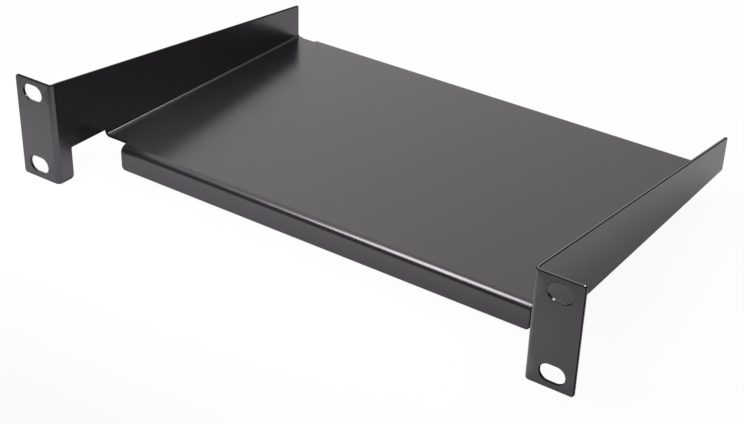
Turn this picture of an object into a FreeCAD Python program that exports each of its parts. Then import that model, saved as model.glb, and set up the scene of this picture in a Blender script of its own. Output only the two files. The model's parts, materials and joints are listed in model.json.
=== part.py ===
"""Cantilever rack shelf for a 10-inch rack, one rack unit high.

One blank of sheet steel, cut flat and folded six times: two side walls stand up from
the deck, an ear is folded outwards from the front end of each wall, and a lip and a
flange hang down from the front and the rear edge of the deck. The ears alone are
bolted to the rack, and the shelf reaches back from them.

Frame: X to the right, Y to the back, Z up, in millimetres. The origin is under the
middle of the shelf, level with the lower edges of the ears.
"""
import FreeCAD, Part
import os
from math import radians, sin, tan

# The sheet and its folds
sheet = 1.2                   # thickness of the steel with its coat
wall_bend_radius = 1.2        # inside radius of the fold from deck to side wall
lip_bend_radius = 2.0         # inside radius of the folds to lip and flange
ear_bend_radius = 1.0         # inside radius of the fold from side wall to ear
edge_break = 0.2              # the cut edges are taken off this far on both faces

# The rack panel that the two ears make up
panel_width = 254.0           # over both ears
panel_height = 43.66          # one rack unit, less the gap to its neighbours
ear_width = 18.1              # from the outside face of a side wall
ear_corner_radius = 1.3
slot_inset_x = 8.7375         # centre of a slot to the outer end of its ear
slot_inset_z = 5.955          # centre of a slot to the ear's upper or lower edge
slot_length = 10.0
slot_width = 7.0

# The tray: deck, lip and flange
tray_depth = 137.0            # from the face of the lip to the face of the flange
deck_height = 11.7            # top of the deck over the lower edges of the ears
lip_setback = 24.0            # face of the lip behind the front face of the ears
lip_drop = 10.8               # lower edges of lip and flange under the deck's top
lip_corner_radius = 1.8

# The side walls
wall_rear_height = 27.0       # upper edge at its rear end, over the ears' lower edges
wall_rear_setback = 2.9       # rear edge of a wall ahead of the face of the flange
wall_corner_radius = 1.5      # upper rear corner
wall_level_run = 1.2          # level stretch of the upper edge behind the ear's fold
wall_top_radius = 16.0        # where that stretch turns into the slope
foot_depth = 8.5              # full-height front end of a wall, from the ear's face
foot_corner_radius = 1.8
step_margin = 0.8             # lower edge ahead of the deck, above the end of the fold

# The reliefs cut beside the ends of the folds
front_relief_width = 12.65    # end of the lip to the outside of the wall
front_relief_margin = 1.2     # this far past the start of the lip's fold
rear_relief_width = 10.9      # end of the flange to the outside of the wall
rear_relief_margin = 0.3      # this far past the start of the flange's fold
relief_corner_radius = 0.6
wall_tab_run = 1.4            # rear edge of a wall runs this far in over the deck

ORIGIN = FreeCAD.Vector(0, 0, 0)
RIGHT = FreeCAD.Vector(1, 0, 0)
BACK = FreeCAD.Vector(0, 1, 0)
UP = FreeCAD.Vector(0, 0, 1)

# Outside radii of the folds
wall_bend_outside = wall_bend_radius + sheet
lip_bend_outside = lip_bend_radius + sheet
ear_bend_outside = ear_bend_radius + sheet

# Places along Y, from front to back
ear_face = -(lip_setback + tray_depth) / 2
wall_front = ear_face + ear_bend_outside
foot_rear = ear_face + foot_depth
lip_face = ear_face + lip_setback
lip_fold = lip_face + lip_bend_outside
front_relief = lip_fold + front_relief_margin
flange_face = lip_face + tray_depth
flange_fold = flange_face - lip_bend_outside
rear_relief = flange_fold - rear_relief_margin
wall_rear = flange_face - wall_rear_setback

# Places along X, from the middle outwards
ear_end = panel_width / 2
slot_x = ear_end - slot_inset_x
wall_outside = ear_end - ear_width
wall_inside = wall_outside - sheet
ear_root = wall_inside + ear_bend_outside
deck_side = wall_outside - wall_bend_outside
lip_end = wall_outside - front_relief_width
flange_end = wall_outside - rear_relief_width

# Places along Z, from the ears' lower edges upwards
lip_bottom = deck_height - lip_drop
lip_top = deck_height - lip_bend_outside
deck_under = deck_height - sheet
wall_bottom = deck_under + wall_bend_outside
step_edge = wall_bottom + step_margin


def rounded_outline(corners):
    """Closed wire in the XY plane through corners (u, v, radius), with tangent arcs.

    A corner's arc takes at most half of the shorter side beside it.
    """
    touching = 1e-6
    points = [FreeCAD.Vector(u, v, 0) for u, v, radius in corners]
    arcs = []
    for index, (u, v, radius) in enumerate(corners):
        corner = points[index]
        to_last = points[index - 1] - corner
        to_next = points[(index + 1) % len(points)] - corner
        room = min(to_last.Length, to_next.Length) / 2
        to_last.normalize()
        to_next.normalize()
        half_angle = to_last.getAngle(to_next) / 2
        reach = min(radius / tan(half_angle), room)
        radius = reach * tan(half_angle)
        bisector = (to_last + to_next).normalize()
        middle = corner + bisector * (radius / sin(half_angle) - radius)
        arcs.append((corner + to_last * reach, middle, corner + to_next * reach))
    edges = []
    for index, (start, middle, end) in enumerate(arcs):
        if start.distanceToPoint(end) > touching:
            edges.append(Part.Arc(start, middle, end).toShape())
        following = arcs[(index + 1) % len(arcs)][0]
        if end.distanceToPoint(following) > touching:
            edges.append(Part.LineSegment(end, following).toShape())
    return Part.Wire(edges)


def slot(z):
    """Solid that cuts a level, round-ended slot through the right-hand ear at height z."""
    radius = slot_width / 2
    half_run = slot_length / 2 - radius
    left = FreeCAD.Vector(slot_x - half_run, ear_face, z)
    right = FreeCAD.Vector(slot_x + half_run, ear_face, z)
    low, high = UP * -radius, UP * radius
    outline = Part.Wire([
        Part.LineSegment(left + low, right + low).toShape(),
        Part.Arc(right + low, right + RIGHT * radius, right + high).toShape(),
        Part.LineSegment(right + high, left + high).toShape(),
        Part.Arc(left + high, left - RIGHT * radius, left + low).toShape(),
    ])
    return Part.Face(outline).extrude(BACK * sheet)


def plate(corners, base, across, along):
    """Flat panel of the sheet, from its outline's corners (u, v, radius).

    u runs along the unit vector across and v along the unit vector along, from base.
    The sheet's thickness is on the side that a right-handed screw turned from across
    to along would move to.
    """
    panel = Part.Face(rounded_outline(corners)).extrude(UP * sheet)
    turn = FreeCAD.Rotation(across, along, across.cross(along), "XYZ")
    panel.Placement = FreeCAD.Placement(base, turn)
    return panel


def fold(centre, first, last, inside_radius, run):
    """Quarter-turn fold about the line that goes from centre along the vector run.

    first and last are the directions from that line to the fold's two ends.
    """
    middle = (first + last).normalize()
    outside_radius = inside_radius + sheet
    inside = Part.Arc(*(centre + way * inside_radius for way in (first, middle, last)))
    outside = Part.Arc(*(centre + way * outside_radius for way in (first, middle, last)))
    ends = [Part.LineSegment(centre + way * inside_radius, centre + way * outside_radius)
            for way in (first, last)]
    edges = Part.sortEdges([curve.toShape() for curve in (inside, outside, *ends)])[0]
    return Part.Face(Part.Wire(edges)).extrude(run)


def deck():
    """Deck between the folds, with a relief beside each end of the lip and flange."""
    tab_end = deck_side - wall_tab_run
    right_side = [
        (lip_end, lip_fold, 0),
        (lip_end, front_relief, relief_corner_radius),
        (deck_side, front_relief, 0),
        (deck_side, wall_rear, 0),
        (tab_end, wall_rear, relief_corner_radius),
        (tab_end, rear_relief, relief_corner_radius),
        (flange_end, rear_relief, relief_corner_radius),
        (flange_end, flange_fold, 0),
    ]
    left_side = [(-x, y, radius) for x, y, radius in reversed(right_side)]
    return plate(right_side + left_side, UP * deck_under, RIGHT, BACK)


def hanging_edge(end, fold_line, outwards, rear_skin):
    """Lip or flange from x = -end to end, and the fold that turns it down.

    The fold starts at y = fold_line and turns the sheet in the direction outwards.
    rear_skin is the y of the hanging panel's rear face.
    """
    centre = FreeCAD.Vector(-end, fold_line, lip_top)
    turned_down = fold(centre, UP, outwards, lip_bend_radius, RIGHT * 2 * end)
    panel = plate([
        (-end, lip_top, 0),
        (-end, lip_bottom, lip_corner_radius),
        (end, lip_bottom, lip_corner_radius),
        (end, lip_top, 0),
    ], BACK * rear_skin, RIGHT, UP)
    return [turned_down, panel]


def side():
    """Right-hand side wall with its ear, and the folds that join them to the deck."""
    wall_fold = fold(FreeCAD.Vector(deck_side, front_relief, wall_bottom), -UP, RIGHT,
                     wall_bend_radius, BACK * (wall_rear - front_relief))
    wall = plate([
        (wall_front, 0, 0),
        (foot_rear, 0, foot_corner_radius),
        (foot_rear, step_edge, relief_corner_radius),
        (front_relief, step_edge, relief_corner_radius),
        (front_relief, wall_bottom, 0),
        (wall_rear, wall_bottom, 0),
        (wall_rear, wall_rear_height, wall_corner_radius),
        (wall_front + wall_level_run, panel_height, wall_top_radius),
        (wall_front, panel_height, 0),
    ], RIGHT * wall_inside, BACK, UP)
    ear_fold = fold(FreeCAD.Vector(ear_root, wall_front, 0), -RIGHT, -BACK,
                    ear_bend_radius, UP * panel_height)
    ear = plate([
        (ear_root, 0, 0),
        (ear_end, 0, ear_corner_radius),
        (ear_end, panel_height, ear_corner_radius),
        (ear_root, panel_height, 0),
    ], BACK * (ear_face + sheet), RIGHT, UP)
    for z in slot_inset_z, panel_height - slot_inset_z:
        ear = ear.cut(slot(z))
    return [wall_fold, wall, ear_fold, ear]


def cut_edges(solid):
    """Edges where a skin of the sheet meets a cut face, at a right angle."""
    smooth_angle = radians(45)
    found = []
    for edge in solid.Edges:
        middle = edge.valueAt((edge.FirstParameter + edge.LastParameter) / 2)
        first, second = (
            face.normalAt(*face.Surface.parameter(middle))
            for face in solid.ancestorsOfType(edge, Part.Face))
        if first.getAngle(second) > smooth_angle:
            found.append(edge)
    return found


def shelf():
    """The folded sheet, whole, with its cut edges taken off."""
    lip = hanging_edge(lip_end, lip_fold, -BACK, lip_face + sheet)
    flange = hanging_edge(flange_end, flange_fold, BACK, flange_face)
    right_side = side()
    left_side = [piece.mirror(ORIGIN, RIGHT) for piece in right_side]
    folded = deck().fuse(lip + flange + right_side + left_side).removeSplitter()
    return folded.makeChamfer(edge_break, cut_edges(folded)).Solids[0]


os.makedirs("parts", exist_ok=True)
part = shelf()
print("valid", part.isValid(), "volume", part.Volume, "box", part.BoundBox)
part.exportStep("parts/shelf.step")
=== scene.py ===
# %% [markdown]
# # A folded steel rack shelf in satin black powder coat
#
# The shelf is one sheet of steel. It was cut flat, folded six times and then sprayed
# with powder, which melts in an oven to a thin, slightly wavy skin. So this script
# works in the same order as the shop does: it draws the flat blank, folds it, and
# coats it. Then it sets up a small, plain studio round the shelf.

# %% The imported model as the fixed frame
import bpy
import json
import numpy as np
from mathutils import Matrix, Vector
from mathutils.geometry import delaunay_2d_cdt

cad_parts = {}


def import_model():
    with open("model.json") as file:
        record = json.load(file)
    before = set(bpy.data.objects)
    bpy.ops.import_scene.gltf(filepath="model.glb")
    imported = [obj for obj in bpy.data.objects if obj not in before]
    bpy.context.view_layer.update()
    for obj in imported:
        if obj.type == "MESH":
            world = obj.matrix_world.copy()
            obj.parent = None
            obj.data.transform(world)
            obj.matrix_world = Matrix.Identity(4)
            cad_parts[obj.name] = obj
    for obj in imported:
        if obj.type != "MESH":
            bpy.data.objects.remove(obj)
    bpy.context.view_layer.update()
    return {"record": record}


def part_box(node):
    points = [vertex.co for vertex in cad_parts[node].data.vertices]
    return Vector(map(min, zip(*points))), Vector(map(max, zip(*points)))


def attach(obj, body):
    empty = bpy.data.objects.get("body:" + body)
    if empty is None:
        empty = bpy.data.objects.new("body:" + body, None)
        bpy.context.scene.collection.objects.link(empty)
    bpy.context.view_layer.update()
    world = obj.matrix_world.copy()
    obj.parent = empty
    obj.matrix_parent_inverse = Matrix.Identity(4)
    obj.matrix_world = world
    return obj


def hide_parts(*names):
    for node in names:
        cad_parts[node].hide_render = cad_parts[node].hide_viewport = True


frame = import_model()
low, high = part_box("shelf")
print("shelf from", tuple(low), "to", tuple(high))

# %% [markdown]
# ## The sizes of the sheet
#
# The ears make up a rack panel, so its width and height, and the depth of the whole
# shelf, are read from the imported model. The slots' pitch is read from its record. The
# other sizes belong to the sheet alone: its thickness, the radius inside each fold,
# and where each fold and edge lies. Lengths are in metres.

# %% Sizes
mm = 0.001
sheet = 1.2 * mm
wall_bend_radius = 1.2 * mm
lip_bend_radius = 2.0 * mm
ear_bend_radius = 1.0 * mm

ear_width = 18.1 * mm
ear_corner_radius = 1.3 * mm
slot_length = 10.0 * mm
slot_width = 7.0 * mm
deck_height = 11.7 * mm
lip_setback = 24.0 * mm
lip_drop = 10.8 * mm
lip_corner_radius = 1.8 * mm
wall_rear_height = 27.0 * mm
wall_rear_setback = 2.9 * mm
wall_corner_radius = 0.9 * mm
wall_level_run = 1.2 * mm
wall_top_radius = 11.0 * mm
foot_depth = 8.5 * mm
foot_corner_radius = 1.8 * mm
step_margin = 0.8 * mm
front_relief_width = 12.65 * mm
front_relief_margin = 1.2 * mm
rear_relief_width = 10.9 * mm
rear_relief_margin = 0.3 * mm
relief_corner_radius = 0.6 * mm
rear_relief_radius = 0.14 * mm
tab_corner_radius = 0.4 * mm
wall_tab_run = 1.4 * mm

panel_height = high.z - low.z
slot_pattern = next(m for m in frame["record"]["mounts"] if m["name"] == "rack_slots")
slot_x = slot_pattern["dims"]["spacing_x_mm"] * mm / 2
slot_rise = slot_pattern["dims"]["spacing_y_mm"] * mm / 2
print("panel", (high.x - low.x) / mm, "by", panel_height / mm, "mm")

# %% [markdown]
# ## Where the folds lie
#
# A bent sheet neither stretches nor shrinks along its middle layer. So every length on
# the flat blank is measured along that layer: a quarter turn uses up a quarter of a
# circle whose radius is the inside radius plus half the sheet.
#
# The blank has two directions. `a` runs across it from the middle of the deck, over
# the fold and up the side wall. `b` runs along it from front to back. The ears lie
# ahead of the side walls on the blank, the lip ahead of the deck and the flange behind.

# %% Folds
half_sheet = sheet / 2
wall_bend = wall_bend_radius + half_sheet
lip_bend = lip_bend_radius + half_sheet
ear_bend = ear_bend_radius + half_sheet
quarter = np.pi / 2

wall_x = high.x - ear_width - half_sheet
deck_z = low.z + deck_height - half_sheet
wall_start = wall_x - wall_bend
ear_start = low.y + half_sheet + ear_bend
lip_start = low.y + lip_setback + half_sheet + lip_bend
flange_start = high.y - half_sheet - lip_bend

wall_end = wall_start + wall_bend * quarter
ear_run = ear_start - ear_bend * quarter
lip_run = lip_start - lip_bend * quarter
flange_run = flange_start + lip_bend * quarter
print("folds across at", round(wall_start / mm, 2), "mm and along at",
      [round(place / mm, 2) for place in (ear_start, lip_start, flange_start)], "mm")

# %% [markdown]
# ## The outline of the blank
#
# A blank is drawn as a list of corners, each with the radius of the cutter's turn or
# of the rounding that keeps fingers safe. Only the right half is listed; the left half
# is its mirror image. Small reliefs beside the ends of the folds let the sheet bend
# without tearing.

# %% Corners
def blank_height(z):
    """Where a height z on the side wall lies along the blank's direction a."""
    return wall_end + z - (deck_z + wall_bend)


ear_edge = ear_run - (high.x - wall_x - ear_bend)
lip_bottom = low.z + deck_height - lip_drop
hanging_run = deck_z - lip_bend - lip_bottom
lip_edge = lip_run - hanging_run
flange_edge = flange_run + hanging_run
lip_side = wall_x + half_sheet - front_relief_width
flange_side = wall_x + half_sheet - rear_relief_width
front_relief = lip_start + front_relief_margin
rear_relief = flange_start - rear_relief_margin
wall_rear = high.y - wall_rear_setback
foot_rear = low.y + foot_depth
wall_front = ear_start
step_height = deck_z + wall_bend + step_margin
tab_end = wall_start - wall_tab_run

right_corners = np.array([
    (lip_side, lip_edge, lip_corner_radius),
    (lip_side, front_relief, relief_corner_radius),
    (blank_height(step_height), front_relief, relief_corner_radius),
    (blank_height(step_height), foot_rear, relief_corner_radius),
    (blank_height(low.z), foot_rear, foot_corner_radius),
    (blank_height(low.z), ear_edge, ear_corner_radius),
    (blank_height(high.z), ear_edge, ear_corner_radius),
    (blank_height(high.z), wall_front + wall_level_run, wall_top_radius),
    (blank_height(low.z + wall_rear_height), wall_rear, wall_corner_radius),
    (tab_end, wall_rear, tab_corner_radius),
    (tab_end, rear_relief, rear_relief_radius),
    (flange_side, rear_relief, rear_relief_radius),
    (flange_side, flange_edge, lip_corner_radius),
])
left_corners = right_corners[::-1] * (-1, 1, 1)
corners = np.concatenate([right_corners, left_corners])
print(len(corners), "corners on the blank")

# %% [markdown]
# ## Rounded corners as one array
#
# Each corner's arc touches the two sides beside it. Its centre lies on the line that
# halves the corner. All arcs are worked out together, as one array of corners by
# steps, and each point also gets the direction that faces out of the sheet there.

# %% Outline of the blank
arc_steps = 9
square_cm = 1e-4


def unit(vectors):
    """Each vector divided by its own length."""
    return vectors / np.linalg.norm(vectors, axis=-1, keepdims=True)


def rounded_outline(corners):
    """Closed outline through corners (a, b, radius), as rows (a, b, out_a, out_b).

    With u and v the directions from a corner to its neighbours and h half the angle
    between them, the arc's centre is the corner plus radius / sin(h) along u + v. The
    arc turns from the side behind to the side ahead. Outwards is the direction of
    travel turned a quarter to the right.
    """
    place, radius = corners[:, None, :2], corners[:, None, 2:]
    behind = unit(np.roll(place, 1, axis=0) - place)
    ahead = unit(np.roll(place, -1, axis=0) - place)
    half = np.arccos(np.sum(behind * ahead, axis=-1, keepdims=True)) / 2
    centre = place + unit(behind + ahead) * radius / np.sin(half)
    side = np.sign(-behind[..., :1] * ahead[..., 1:] + behind[..., 1:] * ahead[..., :1])
    start_out = side * unit(place + behind * radius / np.tan(half) - centre)
    turn = side * np.linspace(0, 1, arc_steps)[None, :, None] * (np.pi - 2 * half)
    out_a = start_out[..., :1] * np.cos(turn) - start_out[..., 1:] * np.sin(turn)
    out_b = start_out[..., :1] * np.sin(turn) + start_out[..., 1:] * np.cos(turn)
    out = np.concatenate([out_a, out_b], axis=-1)
    return np.concatenate([centre + side * radius * out, out], axis=-1).reshape(-1, 4)


outline = rounded_outline(corners)
travel = np.roll(outline, -1, axis=0)[:, :2] - outline[:, :2]
area = np.sum(outline[:, 0] * travel[:, 1] - outline[:, 1] * travel[:, 0]) / 2
print("blank of", round(area / square_cm, 1), "square cm, drawn with", len(outline),
      "points")

# %% [markdown]
# ## The slots
#
# Rack screws go through four level slots with round ends. A slot is an outline too,
# but the steel lies outside it, so it is travelled the other way round: then outwards
# still means out of the sheet. On the flat blank an ear stands on end, so the slots'
# length runs along `b`.

# %% Slots
slot_place = ear_run - (slot_x - wall_x - ear_bend)
slot_half_run = (slot_length - slot_width) / 2
slot_steps = 14


def slot_outline(height, side):
    """Outline of a slot, as rows (a, b, out_a, out_b).

    Two half circles, each centred half a run from the slot's middle: a point lies at
    the centre plus the radius times (cos t, sin t), and the hole's own middle is the
    way out of the sheet.
    """
    t = np.linspace(0, np.pi, slot_steps)
    first = np.stack([np.cos(t), np.sin(t)], axis=-1)
    rim = np.concatenate([first, -first])[::-1]
    run = np.repeat([-slot_half_run, slot_half_run], slot_steps)[:, None] * (0, 1)
    middle = (side * blank_height(height), slot_place)
    return np.concatenate([middle + run + rim * slot_width / 2, -rim], axis=-1)


slot_heights = (low.z + panel_height / 2 - slot_rise, low.z + panel_height / 2 + slot_rise)
slots = [slot_outline(height, side) for side in (-1, 1) for height in slot_heights]
print(len(slots), "slots of", len(slots[0]), "points each")

# %% [markdown]
# ## A lattice for the folds
#
# A flat panel needs no points inside it, but a fold does: it stays round only if rows
# of points run along it, close together. Lines of the lattice therefore crowd across
# each fold and are far apart elsewhere. The outline gets a point wherever it crosses
# such a line, so a fold ends in a true arc at its cut edge.

# %% Lattice
fold_steps = 16
panel_pitch = 8 * mm
arc_margin = 0.4 * mm
top_margin = 1.8 * mm
line_digits = 7
way_digits = 6
no_run = 1e-9
least_share = 1e-4


def spread(start, end, pitch):
    """Evenly spaced places from start to end, no further apart than pitch."""
    return np.linspace(start, end, int(np.ceil(abs(end - start) / pitch)) + 1)


def fold_rows(start, end):
    """Rows across a fold, at equal angles of its turn."""
    return np.linspace(start, end, fold_steps + 1)


half_lines = np.concatenate([
    spread(panel_pitch / 2, wall_start, panel_pitch),
    fold_rows(wall_start, wall_end),
    spread(wall_end, blank_height(high.z) - top_margin, panel_pitch),
])
lines_a = np.unique(np.round(np.concatenate([-half_lines, half_lines]), line_digits))
lines_b = np.unique(np.round(np.concatenate([
    fold_rows(ear_run, ear_start),
    fold_rows(lip_run, lip_start),
    spread(front_relief + arc_margin, rear_relief - arc_margin, panel_pitch),
    fold_rows(flange_start, flange_run),
]), line_digits))
print(len(lines_a), "lines across and", len(lines_b), "lines along")


def cut_at_lines(path):
    """Closed path with rows added where its longer sides cross a line of the lattice.

    A side from p to q crosses the line at place c where the share of the way is
    (c - p) / (q - p). The added rows are mixed from the two ends by that share.
    """
    step = np.roll(path, -1, axis=0) - path
    long_side = np.linalg.norm(step[:, :2], axis=1) > arc_margin
    found = [np.arange(len(path), dtype=float)]
    for axis, lines in ((0, lines_a), (1, lines_b)):
        run = np.where(np.abs(step[:, axis]) > no_run, step[:, axis], np.inf)
        share = (lines[None, :] - path[:, axis, None]) / run[:, None]
        hit = long_side[:, None] & (share > least_share) & (share < 1 - least_share)
        found.append(np.nonzero(hit)[0] + share[hit])
    way = np.unique(np.round(np.concatenate(found), way_digits))
    side = way.astype(int)
    rows = path[side] + step[side] * (way - side)[:, None]
    rows[:, 2:] = unit(rows[:, 2:])
    return rows


loops = [cut_at_lines(outline)] + slots
print("outline now has", len(loops[0]), "points")

# %% [markdown]
# ## The flat blank as triangles
#
# The coat rounds every cut edge, so a skin of the sheet stops a little inside the
# outline, and a rounded rim goes on from there. The edges of the slots look sharper
# than those of the outline, so they get a smaller radius. The skin's border is the
# outline moved inwards by the edge's radius. Inside it lie those points of the lattice
# that keep clear of the border. A Delaunay triangulation joins them, held to the
# border's edges.

# %% Skin of the blank
edge_radius = 0.36 * mm
slot_edge_radius = 0.16 * mm
border_gap = 0.12 * mm


def inside(points, border):
    """True for each point that a ray towards +a leaves through the border an odd
    number of times.
    """
    start, end = border, np.roll(border, -1, axis=0)
    b = points[:, None, 1]
    spans = (start[None, :, 1] > b) != (end[None, :, 1] > b)
    rise = np.where(start[:, 1] == end[:, 1], np.inf, end[:, 1] - start[:, 1])
    crossing = start[:, 0] + (b - start[:, 1]) * (end - start)[:, 0] / rise
    return np.sum(spans & (crossing > points[:, None, 0]), axis=1) % 2 == 1


def distance(points, border):
    """Shortest distance from each point to the border's sides."""
    start, run = border, np.roll(border, -1, axis=0) - border
    to_point = points[:, None] - start
    share = np.sum(to_point * run, axis=-1) / np.sum(run * run, axis=-1)
    nearest = np.clip(share, 0, 1)[..., None] * run
    return np.linalg.norm(to_point - nearest, axis=-1).min(axis=1)


edge_radii = [edge_radius] + [slot_edge_radius] * len(slots)
borders = [loop[:, :2] - loop[:, 2:] * radius for loop, radius in zip(loops, edge_radii)]
lattice = np.stack(np.meshgrid(lines_a, lines_b), axis=-1).reshape(-1, 2)
lattice = lattice[inside(lattice, borders[0])]
for border in borders[1:]:
    lattice = lattice[~inside(lattice, border)]
for border in borders:
    lattice = lattice[distance(lattice, border) > border_gap]

flat = np.concatenate(borders + [lattice])
sizes = [len(loop) for loop in loops]
firsts = np.cumsum([0] + sizes[:-1])
rings = [first + np.arange(size) for first, size in zip(firsts, sizes)]
held = np.concatenate([np.stack([ring, np.roll(ring, -1)], axis=1) for ring in rings])
only_inside = 1
same_point = 1e-6
joined = delaunay_2d_cdt([Vector(p) for p in flat / mm], held.tolist(), [],
                         only_inside, same_point)
assert len(joined[0]) == len(flat), "the triangulation added or merged points"
skin_faces = np.array(joined[2])
middles = flat[skin_faces].mean(axis=1)
in_slot = np.any([inside(middles, border) for border in borders[1:]], axis=0)
skin_faces = skin_faces[~in_slot]
print(len(flat), "points and", len(skin_faces), "triangles on a skin")

# %% [markdown]
# ## Folding
#
# One short function does every fold. Something that travels along the sheet goes
# straight until the fold starts, then turns with it, and goes straight again once the
# quarter turn is done. How far it came forwards and how far sideways gives its place,
# and the angle it turned by gives the direction that its face points in.

# %% Folding
def quarter_turn(travelled, start, radius):
    """Forward place, sideways place and angle after a fold that begins at start.

    The angle is (travelled - start) / radius, kept between none and a quarter turn.
    Forward is the straight run plus radius * sin(angle); sideways is
    radius * (1 - cos(angle)) plus the run after the turn.
    """
    angle = np.clip((travelled - start) / radius, 0, quarter)
    after = np.maximum(travelled - start - radius * quarter, 0)
    forward = np.minimum(travelled, start) + radius * np.sin(angle)
    return forward, radius * (1 - np.cos(angle)) + after, angle


def folded(flat):
    """Place on the folded sheet's middle layer, with its directions along a, along b
    and out of the upper skin, for each flat point (a, b).
    """
    side, a, b = np.sign(flat[:, 0]), np.abs(flat[:, 0]), flat[:, 1]
    zero, one = np.zeros_like(a), np.ones_like(a)
    on_foot = b < (foot_rear + lip_edge) / 2
    on_wall = on_foot | (a > wall_start)

    x, rise, up = quarter_turn(a, wall_start, wall_bend)
    x = np.where(on_foot, wall_x, x)
    rise = np.where(on_foot, wall_bend + a - wall_end, rise)
    up = np.where(on_foot, quarter, up)
    ear_y, ear_x, turned = quarter_turn(-b, -ear_start, ear_bend)
    lip_y, lip_fall, down = quarter_turn(-b, -lip_start, lip_bend)
    rear_y, rear_fall, behind = quarter_turn(b, flange_start, lip_bend)

    wall = [np.stack(part, axis=1) for part in (
        (x + ear_x, -ear_y, deck_z + rise),
        (np.cos(up), zero, np.sin(up)),
        (-np.sin(turned), np.cos(turned), zero),
        (-np.sin(up) * np.cos(turned), -np.sin(turned), np.cos(up)),
    )]
    at_rear = b > flange_start
    fall_angle = np.where(at_rear, -behind, down)
    deck = [np.stack(part, axis=1) for part in (
        (a, np.where(at_rear, rear_y, -lip_y), deck_z - lip_fall - rear_fall),
        (one, zero, zero),
        (zero, np.cos(fall_angle), np.sin(fall_angle)),
        (zero, -np.sin(fall_angle), np.cos(fall_angle)),
    )]
    place, along_a, along_b, out = (
        np.where(on_wall[:, None], w, d) for w, d in zip(wall, deck))
    mirror = np.stack([np.where(side < 0, -1.0, 1.0), one, one], axis=1)
    along_a = along_a * mirror * mirror[:, :1]
    return place * mirror, along_a, along_b * mirror, out * mirror


place, along_a, along_b, out = folded(flat)
print("folded middle layer from", place.min(axis=0) / mm, "to", place.max(axis=0) / mm)

# %% [markdown]
# ## Skins and rim
#
# The two skins are the folded blank moved half a sheet each way. The rim is a profile
# carried along each outline: a quarter round from the upper skin, the flat land that
# the cutter left, and a quarter round to the lower skin. Every point gets its true
# normal from the same formulas, so a fold shades as a smooth curve and a panel stays
# dead flat, which normals averaged from the triangles would not do.

# %% Section of the rim
round_steps = 6


def rim_profile(radius):
    """Rows (outwards, height, tilt) of the rim's section, from upper to lower skin.

    On a quarter round, a tilt t lies radius * sin(t) outwards of the skin's border
    and radius * (1 - cos(t)) under the skin. The lower half mirrors the upper.
    """
    tilt = np.linspace(0, quarter, round_steps + 1)[1:]
    outwards = radius * np.sin(tilt)
    height = half_sheet - radius * (1 - np.cos(tilt))
    upper = np.stack([outwards, height, tilt], axis=1)
    lower = np.stack([outwards, -height, np.pi - tilt], axis=1)[::-1]
    return np.concatenate([upper, lower])


print("rim of", 2 * round_steps + 1, "bands, rounded by", edge_radius / mm,
      "mm outside and", slot_edge_radius / mm, "mm in the slots")

# %% [markdown]
# ## Which part gets which finish
#
# Not every face gets the same finish. Each face of the mesh carries the number
# of its finish, so the numbers are given here; what the finishes are comes with the
# materials. The skins are satin. The rounded corners get a matt finish that paints a
# dark line of shade along every cut edge. The land between two corners gets a glossy
# finish that paints a highlight line on the outline's right half, and the matt painted
# shade on its left half. In the slots the land is satin like a skin, but gets the matt
# painted shade in the lower slot on the right.

# %% Mesh of the sheet
# The matt corners paint a dark line of shade; the glossy land paints a highlight line.
SKIN, PAINTED_SHADE, PAINTED_HIGHLIGHT = 0, 1, 2
# Lands of the outline: painted highlight on the right half, painted shade on the left.
outline_land_painted_light_and_shade = np.where(loops[0][:, 0] > 0, PAINTED_HIGHLIGHT, PAINTED_SHADE)
# The lower slot on the right gets the painted shade on its land.
left_low, left_high, right_low, right_high = SKIN, SKIN, PAINTED_SHADE, SKIN
lands = [outline_land_painted_light_and_shade, left_low, left_high, right_low, right_high]


def sheet_mesh():
    """Vertices, normals and faces of the folded sheet, and the finish of each face.

    Each loop's rim is a grid: the section's rows by the loop's points. Its middle band
    is the land.
    """
    count = len(flat)
    points = [place + out * half_sheet, place - out * half_sheet]
    normals = [out, -out]
    faces = [skin_faces, skin_faces[:, ::-1] + count]
    finish = [np.full(2 * len(skin_faces), SKIN, dtype=np.int32)]
    used = 2 * count
    for loop, border, ring, radius, land in zip(loops, borders, rings, edge_radii, lands):
        rows = [ring]
        for outwards, height, tilt in rim_profile(radius):
            at, along_a, along_b, up = folded(border + loop[:, 2:] * outwards)
            edge = along_a * loop[:, 2:3] + along_b * loop[:, 3:4]
            points.append(at + up * height)
            normals.append(edge * np.sin(tilt) + up * np.cos(tilt))
            rows.append(used + np.arange(len(loop)))
            used += len(loop)
        rows.append(ring + count)
        rows = np.array(rows)
        ahead = np.roll(rows, -1, axis=1)
        quads = np.stack([rows[:-1], rows[1:], ahead[1:], ahead[:-1]], axis=-1)
        faces.append(quads.reshape(-1, 4))
        # Rounded corners get the matt finish, a painted dark line of shade; the middle
        # band gets its land's finish.
        kinds = np.full((len(quads), len(loop)), PAINTED_SHADE, dtype=np.int32)
        kinds[round_steps] = land
        finish.append(kinds.ravel())
    return (np.concatenate(points), np.concatenate(normals), faces,
            np.concatenate(finish))


points, normals, faces, finish = sheet_mesh()
mesh = bpy.data.meshes.new("folded_sheet")
mesh.from_pydata(points.tolist(), [], [face for part in faces for face in part.tolist()])
mesh.validate()
mesh.shade_smooth()
mesh.normals_split_custom_set_from_vertices(normals.tolist())
shelf = bpy.data.objects.new("folded_sheet", mesh)
bpy.context.scene.collection.objects.link(shelf)
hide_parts("shelf")
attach(shelf, "root")
print("sheet of", len(mesh.vertices), "vertices and", len(mesh.polygons), "faces")

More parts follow.
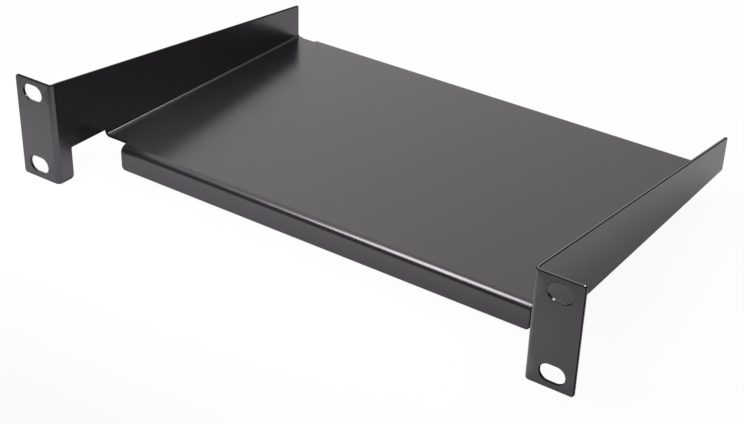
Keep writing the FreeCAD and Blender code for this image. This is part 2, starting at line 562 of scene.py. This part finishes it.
# %% [markdown]
# ## Satin black powder coat
#
# Powder is sprayed on dry and melted in an oven. It becomes a skin that is nearly
# smooth, so it mirrors its surroundings dimly and a little blurred. Three things keep
# it from looking like plain plastic. Shallow waves a few millimetres long, called
# orange peel, make the mirror image swim. A much finer grain of half-melted powder
# scatters a little light. And the melt is not equally glossy all over, so its
# roughness drifts from place to place.
#
# All three come from noise in the object's own coordinates, which runs on round the
# folds without a seam. They are the same on every part of the sheet, so they live in
# one node group that gives a height for the bump and a roughness.

# %% Skin of the powder
peel_length = 2.2 * mm
grain_length = 0.25 * mm
drift_length = 9 * mm
peel_share = 0.85


def add(nodes, kind, name, **settings):
    """New shader node of a kind, with its name and settings."""
    node = nodes.new(kind)
    node.name = node.label = name
    for key, value in settings.items():
        setattr(node, key, value)
    return node


def noise(nodes, links, place, name, length, detail):
    """Factor of a noise whose bumps are about length long, read at place."""
    node = add(nodes, "ShaderNodeTexNoise", name)
    node.inputs["Scale"].default_value = 1 / length
    node.inputs["Detail"].default_value = detail
    links.new(place, node.inputs["Vector"])
    return node.outputs["Fac"]


def powder_skin():
    """Node group with the height of the skin, from 0 to 1, and its roughness.

    The height is peel_share of the peel plus the rest of the grain. The roughness is
    the given mean plus the given drift times twice the drift noise less one.
    """
    group = bpy.data.node_groups.new("powder_skin", "ShaderNodeTree")
    face = group.interface
    face.new_socket("Roughness", in_out="INPUT", socket_type="NodeSocketFloat")
    face.new_socket("Drift", in_out="INPUT", socket_type="NodeSocketFloat")
    face.new_socket("Height", in_out="OUTPUT", socket_type="NodeSocketFloat")
    face.new_socket("Roughness", in_out="OUTPUT", socket_type="NodeSocketFloat")
    nodes, links = group.nodes, group.links
    given = add(nodes, "NodeGroupInput", "given")
    result = add(nodes, "NodeGroupOutput", "result")
    place = add(nodes, "ShaderNodeTexCoord", "place").outputs["Object"]
    peel = noise(nodes, links, place, "orange peel", peel_length, detail=1)
    grain = noise(nodes, links, place, "grain", grain_length, detail=2)
    drift = noise(nodes, links, place, "drift", drift_length, detail=3)
    height = add(nodes, "ShaderNodeMix", "height", data_type="FLOAT")
    height.inputs["Factor"].default_value = peel_share
    links.new(grain, height.inputs["A"])
    links.new(peel, height.inputs["B"])
    links.new(height.outputs["Result"], result.inputs["Height"])
    swing = add(nodes, "ShaderNodeMapRange", "swing")
    swing.inputs["To Min"].default_value = -1
    swing.inputs["To Max"].default_value = 1
    links.new(drift, swing.inputs["Value"])
    roughness = add(nodes, "ShaderNodeMath", "roughness", operation="MULTIPLY_ADD")
    links.new(swing.outputs["Result"], roughness.inputs[0])
    links.new(given.outputs["Drift"], roughness.inputs[1])
    links.new(given.outputs["Roughness"], roughness.inputs[2])
    links.new(roughness.outputs["Value"], result.inputs["Roughness"])
    return group


skin_group = powder_skin()
print("skin group with", len(skin_group.nodes), "nodes")

# %% [markdown]
# ## Three finishes from one powder
# On the skins of the sheet the coat is satin. Round the corners of a cut edge a
# matt finish with a very low index mirrors next to nothing and paints a black line
# there: painted shade. On the narrow land between two corners a glossy finish with a
# very high index paints a light line beside the black one: a painted highlight. Each
# finish gets a material: the same powder, another gloss and bump.
#
# Which lands get the glossy finish was chosen by the look of the real shelf's cut
# edges: they show the light line on the right half of the outline, and hardly
# elsewhere. Why isn't known. So the light line is painted onto the right half's lands,
# and the left half's get the matt finish's painted shade.

# %% Powder coat
coat_color = (0.0125, 0.0112, 0.0128, 1.0)
coat_tint = (1.0, 0.95, 1.0, 1.0)
satin = {"index": 1.8, "roughness": 0.24, "drift": 0.04, "bump": 0.1}
# Matt paints the corners black (painted shade); the glossy one paints a highlight line.
matt = {"index": 1.15, "roughness": 0.5, "drift": 0.15, "bump": 0.8}
painted_highlight_gloss = {"index": 3.0, "roughness": 0.2, "drift": 0.04, "bump": 0.2}
peel_depth = 0.02 * mm


def powder_coat(name, finish):
    """Material of the black powder coat with the finish's gloss and bump."""
    material = bpy.data.materials.new(name)
    material.use_nodes = True
    nodes, links = material.node_tree.nodes, material.node_tree.links
    shader = nodes["Principled BSDF"]
    shader.inputs["Base Color"].default_value = coat_color
    shader.inputs["Specular Tint"].default_value = coat_tint
    shader.inputs["IOR"].default_value = finish["index"]
    skin = add(nodes, "ShaderNodeGroup", "powder skin", node_tree=skin_group)
    skin.inputs["Roughness"].default_value = finish["roughness"]
    skin.inputs["Drift"].default_value = finish["drift"]
    bump = add(nodes, "ShaderNodeBump", "waves")
    bump.inputs["Strength"].default_value = finish["bump"]
    bump.inputs["Distance"].default_value = peel_depth
    links.new(skin.outputs["Roughness"], shader.inputs["Roughness"])
    links.new(skin.outputs["Height"], bump.inputs["Height"])
    links.new(bump.outputs["Normal"], shader.inputs["Normal"])
    return material


mesh.materials.append(powder_coat("satin_black_powder_coat", satin))
# Painted shade for the corners and a painted highlight for the lands.
mesh.materials.append(powder_coat("matt_corner_painted_shade", matt))
mesh.materials.append(powder_coat("glossy_land_painted_highlight", painted_highlight_gloss))
mesh.polygons.foreach_set("material_index", finish)
print("faces with each finish:", np.bincount(finish))

# %% [markdown]
# ## The studio
#
# A pale floor runs out far enough to be the background too. Seen directly it is nearly
# all white; what the shelf mirrors in its coat is the floor as it is really lit. That
# is what the light path's camera ray is for: it splits the two without any more light
# on the shelf. A share of the floor stays plain paper, so the shelf's shadow still shows.
#
# The paper gets dark ahead of the shelf. Lip, ears and front fold mirror that change:
# it darkens the tops of the ears and puts a dark band under the fold's highlight. Seen
# directly it hardly shows, because nearly all that the camera sees is plain white.

# %% White paper
paper_color = (0.83, 0.83, 0.86, 1.0)
beyond_color = (0.08, 0.08, 0.08, 1.0)
paper_border = (-0.215, -0.10)
white_share = 0.94


def ramp(nodes, links, value, name, places, levels):
    """Smooth change of level, from the first to the last, while the value goes from
    the first place to the last.
    """
    node = add(nodes, "ShaderNodeMapRange", name, interpolation_type="SMOOTHSTEP")
    node.inputs["From Min"].default_value, node.inputs["From Max"].default_value = places
    node.inputs["To Min"].default_value, node.inputs["To Max"].default_value = levels
    links.new(value, node.inputs["Value"])
    return node.outputs["Result"]


def product(nodes, links, name, first, second):
    """Output of a node that multiplies a socket by another socket or by a number."""
    node = add(nodes, "ShaderNodeMath", name, operation="MULTIPLY")
    links.new(first, node.inputs[0])
    if isinstance(second, bpy.types.NodeSocket):
        links.new(second, node.inputs[1])
    else:
        node.inputs[1].default_value = second
    return node.outputs["Value"]


def white_paper():
    """Material of the floor: seen directly, white_share of it is plain white and the
    rest is paper. The paper's tone rises from beyond_color to paper_color while Y goes
    through paper_border.
    """
    material = bpy.data.materials.new("white_paper")
    material.use_nodes = True
    nodes, links = material.node_tree.nodes, material.node_tree.links
    nodes.clear()
    place = add(nodes, "ShaderNodeTexCoord", "place")
    split = add(nodes, "ShaderNodeSeparateXYZ", "split")
    tone = add(nodes, "ShaderNodeValToRGB", "tone")
    tone.color_ramp.elements[0].color = beyond_color
    tone.color_ramp.elements[1].color = paper_color
    paper = add(nodes, "ShaderNodeBsdfDiffuse", "paper")
    links.new(place.outputs["Object"], split.inputs["Vector"])
    cover = ramp(nodes, links, split.outputs["Y"], "cover", paper_border, (0, 1))
    links.new(cover, tone.inputs["Fac"])
    links.new(tone.outputs["Color"], paper.inputs["Color"])
    white = add(nodes, "ShaderNodeEmission", "white")
    seen = add(nodes, "ShaderNodeLightPath", "seen")
    mixed = add(nodes, "ShaderNodeMixShader", "mixed")
    output = add(nodes, "ShaderNodeOutputMaterial", "output")
    share = product(nodes, links, "share", seen.outputs["Is Camera Ray"], white_share)
    links.new(share, mixed.inputs["Fac"])
    links.new(paper.outputs["BSDF"], mixed.inputs[1])
    links.new(white.outputs["Emission"], mixed.inputs[2])
    links.new(mixed.outputs["Shader"], output.inputs["Surface"])
    return material


paper = white_paper()
print("paper covers the floor behind", paper_border[1], "m and ends at",
      paper_border[0], "m")

# %% Floor
floor_size = 8.0


def floor():
    """Large square at the height of the shelf's feet."""
    half = floor_size / 2
    made = bpy.data.meshes.new("floor")
    made.from_pydata([(-half, -half, low.z), (half, -half, low.z),
                      (half, half, low.z), (-half, half, low.z)], [], [(0, 1, 2, 3)])
    made.materials.append(paper)
    plane = bpy.data.objects.new("floor", made)
    bpy.context.scene.collection.objects.link(plane)
    return plane


studio_floor = floor()
print(studio_floor.name, "of", floor_size, "m at height", round(low.z / mm, 3), "mm")

# %% [markdown]
# ## The surroundings
#
# Black satin shows mostly what it mirrors, so the shapes read only if different sides
# of the room have different levels. The room is grey and has a white wall on the left:
# the deck mirrors that side and looks grey, a little darker towards the right. In front
# the room is dark, which puts a dark band under each fold's highlight. A dark doorway
# behind on the right darkens the upper edges too, beside the painted shade of the matt
# corners and the painted highlight of the glossy lands. Camera rays see plain white.

# %% Levels of the room
room_level = 0.445
wall_level = 1.19
dark_share = 0.12
wall_border = (-0.8, 0.0)
front_border = (-0.65, -0.25)
door_azimuth = np.radians(38)
door_border = (0.72, 0.88)


def studio_level(nodes, links):
    """Level of the surroundings in each direction, as a unit vector.

    It goes from wall to room while the vector's X goes through wall_border. That is
    multiplied by two shares. One goes from dark to full while Y goes through
    front_border. The other goes from full to dark while the cosine of the angle to the
    doorway goes through door_border.
    """
    way = add(nodes, "ShaderNodeTexCoord", "way").outputs["Generated"]
    split = add(nodes, "ShaderNodeSeparateXYZ", "split")
    towards = add(nodes, "ShaderNodeVectorMath", "towards", operation="DOT_PRODUCT")
    towards.inputs[1].default_value = (np.sin(door_azimuth), np.cos(door_azimuth), 0)
    links.new(way, split.inputs["Vector"])
    links.new(way, towards.inputs[0])
    side = ramp(nodes, links, split.outputs["X"], "side", wall_border,
                (wall_level, room_level))
    front = ramp(nodes, links, split.outputs["Y"], "front", front_border,
                 (dark_share, 1))
    door = ramp(nodes, links, towards.outputs["Value"], "door", door_border,
                (1, dark_share))
    both = product(nodes, links, "both", side, front)
    return product(nodes, links, "lit", both, door)


print("levels: wall", wall_level, "room", room_level,
      "dark", round(room_level * dark_share, 3))

# %% World
white_level = 1.0
sky_tint = (1.0, 0.975, 0.975, 1.0)


def world():
    """World that is plain white to camera rays and has the studio's level to others."""
    made = bpy.data.worlds.new("studio")
    made.use_nodes = True
    nodes, links = made.node_tree.nodes, made.node_tree.links
    nodes.clear()
    seen = add(nodes, "ShaderNodeLightPath", "seen")
    level = add(nodes, "ShaderNodeMix", "level", data_type="FLOAT")
    level.inputs["B"].default_value = white_level
    sky = add(nodes, "ShaderNodeBackground", "sky")
    sky.inputs["Color"].default_value = sky_tint
    output = add(nodes, "ShaderNodeOutputWorld", "output")
    links.new(studio_level(nodes, links), level.inputs["A"])
    links.new(seen.outputs["Is Camera Ray"], level.inputs["Factor"])
    links.new(level.outputs["Result"], sky.inputs["Strength"])
    links.new(sky.outputs["Background"], output.inputs["Surface"])
    return made


bpy.context.scene.world = world()
print("world", bpy.context.scene.world.name, "in use")

# %% [markdown]
# ## The lamps
#
# One soft box hangs close by, ahead of the shelf and to the left. Because it is close,
# its light falls off from left to right over the floor and the front. It gives the
# folds their long highlight. A small one high behind draws a line in the inner corner
# between deck and wall.

# %% Lamps
def soft_box(name, place, aim, size, radiance):
    """Rectangular lamp at place, facing aim, with an even radiance over its face.

    A lamp of area A that looks as bright as radiance L gives pi * A * L watts.
    """
    data = bpy.data.lights.new(name, "AREA")
    data.shape = "RECTANGLE"
    data.size, data.size_y = size
    data.energy = np.pi * size[0] * size[1] * radiance
    lamp = bpy.data.objects.new(name, data)
    bpy.context.scene.collection.objects.link(lamp)
    way = Vector(aim) - Vector(place)
    lamp.rotation_euler = way.to_track_quat("-Z", "Y").to_euler()
    lamp.location = place
    return lamp


lamps = [
    soft_box("key", place=(-0.11, -0.22, 0.325), aim=(0, -0.05, 0),
             size=(0.15, 0.22), radiance=10.5),
    soft_box("rear", place=(0.12, 0.25, 0.32), aim=(0, 0, 0),
             size=(0.10, 0.10), radiance=13),
]
for lamp in lamps:
    print("lamp", lamp.name, "of", round(lamp.data.energy, 2), "W")

# %% [markdown]
# ## The camera
#
# A long lens stands half a metre away, to the right of the shelf and well above its
# deck. From there the inside of one side wall, the outside of the other, the lip and
# all four slots show at once. The camera is rolled a little about its line of sight,
# as a hand-held one is, and a small shift of the lens sets the shelf in the frame.

# %% Camera
camera_place = Vector((0.29151, -0.44489, 0.29661))
camera_aim = Vector((0.0394, -0.05386, 0.0117))
camera_roll = np.radians(2.509)
camera_lens = 72.227
camera_shift = (-0.0378, 0.0511)
nearest_shown = 0.05


def camera():
    """Camera that looks from its place to its aim, rolled about that line."""
    data = bpy.data.cameras.new("camera")
    data.lens = camera_lens
    data.shift_x, data.shift_y = camera_shift
    data.clip_start = nearest_shown
    made = bpy.data.objects.new("camera", data)
    bpy.context.scene.collection.objects.link(made)
    turn = (camera_aim - camera_place).to_track_quat("-Z", "Y").to_matrix().to_4x4()
    roll = Matrix.Rotation(camera_roll, 4, "Z")
    made.matrix_world = Matrix.Translation(camera_place) @ turn @ roll
    return made


bpy.context.scene.camera = camera()
bpy.context.scene.view_settings.view_transform = "Standard"
print("camera", round((camera_aim - camera_place).length / mm), "mm from its aim")
